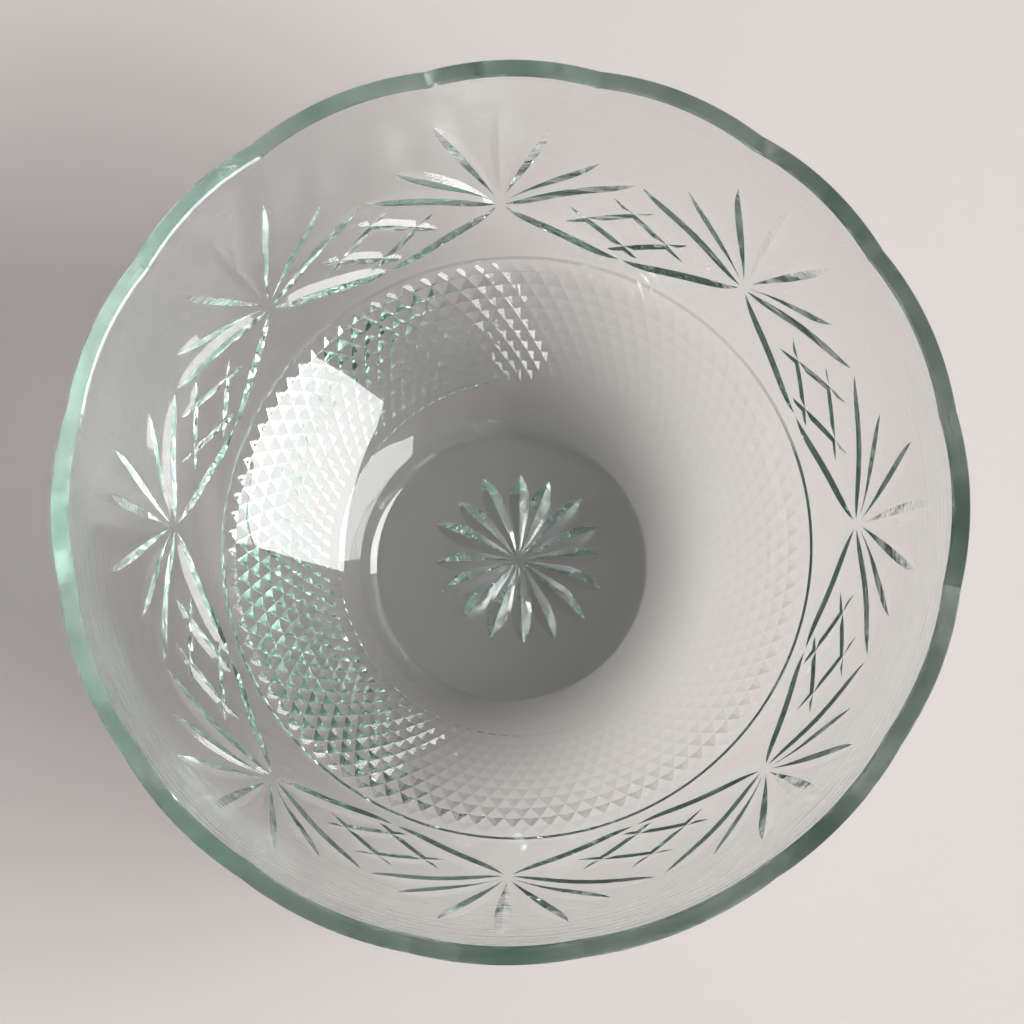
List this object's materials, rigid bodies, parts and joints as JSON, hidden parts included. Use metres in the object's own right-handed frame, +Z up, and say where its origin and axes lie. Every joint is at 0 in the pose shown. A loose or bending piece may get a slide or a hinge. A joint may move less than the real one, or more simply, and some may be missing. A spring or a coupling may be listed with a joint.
{
  "type": "cut glass mixing bowl",
  "caption": "Round clear cut-glass bowl with a scalloped rim, fans and lozenges on the flared wall, a ring groove, a band of small diamond points and a star cut under the flat base.",
  "frame": {"origin": "centre of the flat underside", "axes": "+Z up along the axis of the bowl, from the underside to the rim; +X through the middle of one fan"},
  "size_m": [0.2, 0.2, 0.09],
  "materials": {
    "rim": "ground and polished edge",
    "fan_wall": "polished, with wheel-cut vees",
    "groove_ring": "polished, with one wheel-cut vee",
    "diamond_band": "wheel-cut points",
    "heel_ring": "polished, rising from the table",
    "star_base": "ground flat, with a wheel-cut star"
  },
  "bodies": {
    "root": {"rim": "rim", "fan_wall": "fan_wall", "groove_ring": "groove_ring", "diamond_band": "diamond_band", "heel_ring": "heel_ring", "star_base": "star_base"}
  },
  "joints": []
}
